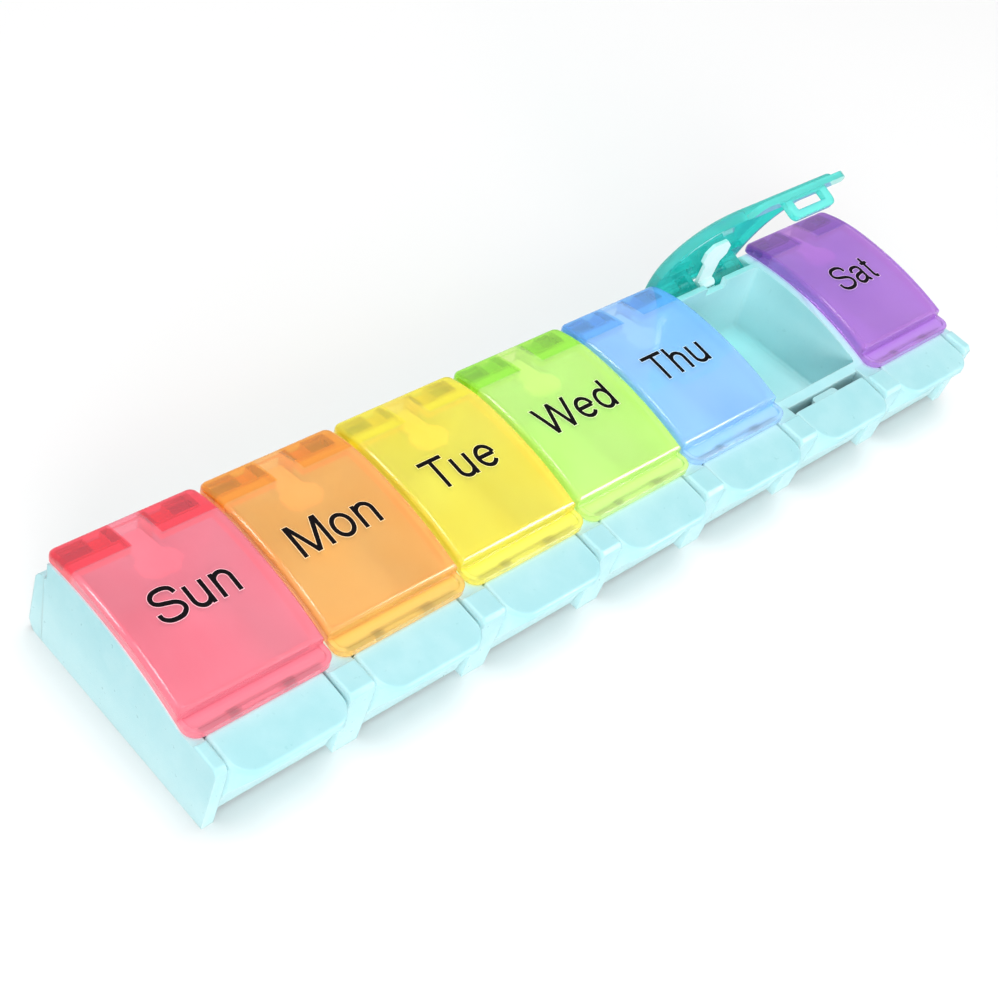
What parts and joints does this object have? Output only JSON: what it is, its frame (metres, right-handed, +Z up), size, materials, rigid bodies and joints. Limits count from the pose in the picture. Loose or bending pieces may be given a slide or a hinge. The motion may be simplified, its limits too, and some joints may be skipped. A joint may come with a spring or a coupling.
{
  "type": "pill organizer",
  "caption": "Long travel pill organizer with a well per weekday, arched clear coloured lids that spring open, and a push button in front of each lid.",
  "frame": {"origin": "centre of the flat underside, half way between the two end plates and half way between the button fronts and the rear rail", "axes": "+X along the row from the first day's end to the last, +Y from the buttons towards the hinges, +Z up"},
  "size_m": [0.2066, 0.0537, 0.0531],
  "materials": {
    "aqua_plastic": "light aqua moulded plastic, soft satin gloss",
    "spring_clear": "milky translucent plastic",
    "lid_pink": "translucent tinted plastic, glossy",
    "lid_orange": "translucent tinted plastic, glossy",
    "lid_yellow": "translucent tinted plastic, glossy",
    "lid_lime": "translucent tinted plastic, glossy",
    "lid_blue": "translucent tinted plastic, glossy",
    "lid_teal": "translucent tinted plastic, glossy",
    "lid_violet": "translucent tinted plastic, glossy"
  },
  "bodies": {
    "tray_body": {"tray": "aqua_plastic", "rear_rail": "aqua_plastic"},
    "lid_sun_body": {"lid_sun": "lid_pink"},
    "spring_sun_body": {"spring_sun": "spring_clear"},
    "button_sun_body": {"button_sun": "aqua_plastic"},
    "lid_mon_body": {"lid_mon": "lid_orange"},
    "spring_mon_body": {"spring_mon": "spring_clear"},
    "button_mon_body": {"button_mon": "aqua_plastic"},
    "lid_tue_body": {"lid_tue": "lid_yellow"},
    "spring_tue_body": {"spring_tue": "spring_clear"},
    "button_tue_body": {"button_tue": "aqua_plastic"},
    "lid_wed_body": {"lid_wed": "lid_lime"},
    "spring_wed_body": {"spring_wed": "spring_clear"},
    "button_wed_body": {"button_wed": "aqua_plastic"},
    "lid_thu_body": {"lid_thu": "lid_blue"},
    "spring_thu_body": {"spring_thu": "spring_clear"},
    "button_thu_body": {"button_thu": "aqua_plastic"},
    "lid_fri_body": {"lid_fri": "lid_teal"},
    "spring_fri_body": {"spring_fri": "spring_clear"},
    "button_fri_body": {"button_fri": "aqua_plastic"},
    "lid_sat_body": {"lid_sat": "lid_violet"},
    "spring_sat_body": {"spring_sat": "spring_clear"},
    "button_sat_body": {"button_sat": "aqua_plastic"}
  },
  "joints": [
    {"name": "lid_sun_hinge", "type": "hinge", "parent": "tray_body", "child": "lid_sun_body", "pos_m": [-0.0888, 0.0208, 0.0174], "axis": [-1, 0, 0], "range_deg": [0, 68.5]},
    {"name": "spring_sun_root", "type": "hinge", "parent": "tray_body", "child": "spring_sun_body", "pos_m": [-0.0888, 0.0206, 0.0184], "axis": [-1, 0, 0], "range_deg": [0, 74]},
    {"name": "button_sun_press", "type": "hinge", "parent": "tray_body", "child": "button_sun_body", "pos_m": [-0.0888, -0.0176, 0.0045], "axis": [1, 0, 0], "range_deg": [0, 9], "stiffness_Nm_per_rad": 0.15, "springref_deg": -2.86},
    {"name": "lid_mon_hinge", "type": "hinge", "parent": "tray_body", "child": "lid_mon_body", "pos_m": [-0.0592, 0.0208, 0.0174], "axis": [-1, 0, 0], "range_deg": [0, 68.5]},
    {"name": "spring_mon_root", "type": "hinge", "parent": "tray_body", "child": "spring_mon_body", "pos_m": [-0.0592, 0.0206, 0.0184], "axis": [-1, 0, 0], "range_deg": [0, 74]},
    {"name": "button_mon_press", "type": "hinge", "parent": "tray_body", "child": "button_mon_body", "pos_m": [-0.0592, -0.0176, 0.0045], "axis": [1, 0, 0], "range_deg": [0, 9], "stiffness_Nm_per_rad": 0.15, "springref_deg": -2.86},
    {"name": "lid_tue_hinge", "type": "hinge", "parent": "tray_body", "child": "lid_tue_body", "pos_m": [-0.0296, 0.0208, 0.0174], "axis": [-1, 0, 0], "range_deg": [0, 68.5]},
    {"name": "spring_tue_root", "type": "hinge", "parent": "tray_body", "child": "spring_tue_body", "pos_m": [-0.0296, 0.0206, 0.0184], "axis": [-1, 0, 0], "range_deg": [0, 74]},
    {"name": "button_tue_press", "type": "hinge", "parent": "tray_body", "child": "button_tue_body", "pos_m": [-0.0296, -0.0176, 0.0045], "axis": [1, 0, 0], "range_deg": [0, 9], "stiffness_Nm_per_rad": 0.15, "springref_deg": -2.86},
    {"name": "lid_wed_hinge", "type": "hinge", "parent": "tray_body", "child": "lid_wed_body", "pos_m": [0, 0.0208, 0.0174], "axis": [-1, 0, 0], "range_deg": [0, 68.5]},
    {"name": "spring_wed_root", "type": "hinge", "parent": "tray_body", "child": "spring_wed_body", "pos_m": [0, 0.0206, 0.0184], "axis": [-1, 0, 0], "range_deg": [0, 74]},
    {"name": "button_wed_press", "type": "hinge", "parent": "tray_body", "child": "button_wed_body", "pos_m": [0, -0.0176, 0.0045], "axis": [1, 0, 0], "range_deg": [0, 9], "stiffness_Nm_per_rad": 0.15, "springref_deg": -2.86},
    {"name": "lid_thu_hinge", "type": "hinge", "parent": "tray_body", "child": "lid_thu_body", "pos_m": [0.0296, 0.0208, 0.0174], "axis": [-1, 0, 0], "range_deg": [0, 68.5]},
    {"name": "spring_thu_root", "type": "hinge", "parent": "tray_body", "child": "spring_thu_body", "pos_m": [0.0296, 0.0206, 0.0184], "axis": [-1, 0, 0], "range_deg": [0, 74]},
    {"name": "button_thu_press", "type": "hinge", "parent": "tray_body", "child": "button_thu_body", "pos_m": [0.0296, -0.0176, 0.0045], "axis": [1, 0, 0], "range_deg": [0, 9], "stiffness_Nm_per_rad": 0.15, "springref_deg": -2.86},
    {"name": "lid_fri_hinge", "type": "hinge", "parent": "tray_body", "child": "lid_fri_body", "pos_m": [0.0592, 0.0208, 0.0174], "axis": [-1, 0, 0], "range_deg": [-68.5, 0], "stiffness_Nm_per_rad": 0.0015, "springref_deg": 22.92},
    {"name": "spring_fri_root", "type": "hinge", "parent": "tray_body", "child": "spring_fri_body", "pos_m": [0.0592, 0.0206, 0.0184], "axis": [-1, 0, 0], "range_deg": [-74, 0]},
    {"name": "button_fri_press", "type": "hinge", "parent": "tray_body", "child": "button_fri_body", "pos_m": [0.0592, -0.0176, 0.0045], "axis": [1, 0, 0], "range_deg": [0, 9], "stiffness_Nm_per_rad": 0.15, "springref_deg": -2.86},
    {"name": "lid_sat_hinge", "type": "hinge", "parent": "tray_body", "child": "lid_sat_body", "pos_m": [0.0888, 0.0208, 0.0174], "axis": [-1, 0, 0], "range_deg": [0, 68.5]},
    {"name": "spring_sat_root", "type": "hinge", "parent": "tray_body", "child": "spring_sat_body", "pos_m": [0.0888, 0.0206, 0.0184], "axis": [-1, 0, 0], "range_deg": [0, 74]},
    {"name": "button_sat_press", "type": "hinge", "parent": "tray_body", "child": "button_sat_body", "pos_m": [0.0888, -0.0176, 0.0045], "axis": [1, 0, 0], "range_deg": [0, 9], "stiffness_Nm_per_rad": 0.15, "springref_deg": -2.86}
  ],
  "couplings": [
    {"joint": "spring_sun_root", "follows": "lid_sun_hinge", "ratio": 1.08},
    {"joint": "spring_mon_root", "follows": "lid_mon_hinge", "ratio": 1.08},
    {"joint": "spring_tue_root", "follows": "lid_tue_hinge", "ratio": 1.08},
    {"joint": "spring_wed_root", "follows": "lid_wed_hinge", "ratio": 1.08},
    {"joint": "spring_thu_root", "follows": "lid_thu_hinge", "ratio": 1.08},
    {"joint": "spring_fri_root", "follows": "lid_fri_hinge", "ratio": 1.08},
    {"joint": "spring_sat_root", "follows": "lid_sat_hinge", "ratio": 1.08}
  ]
}
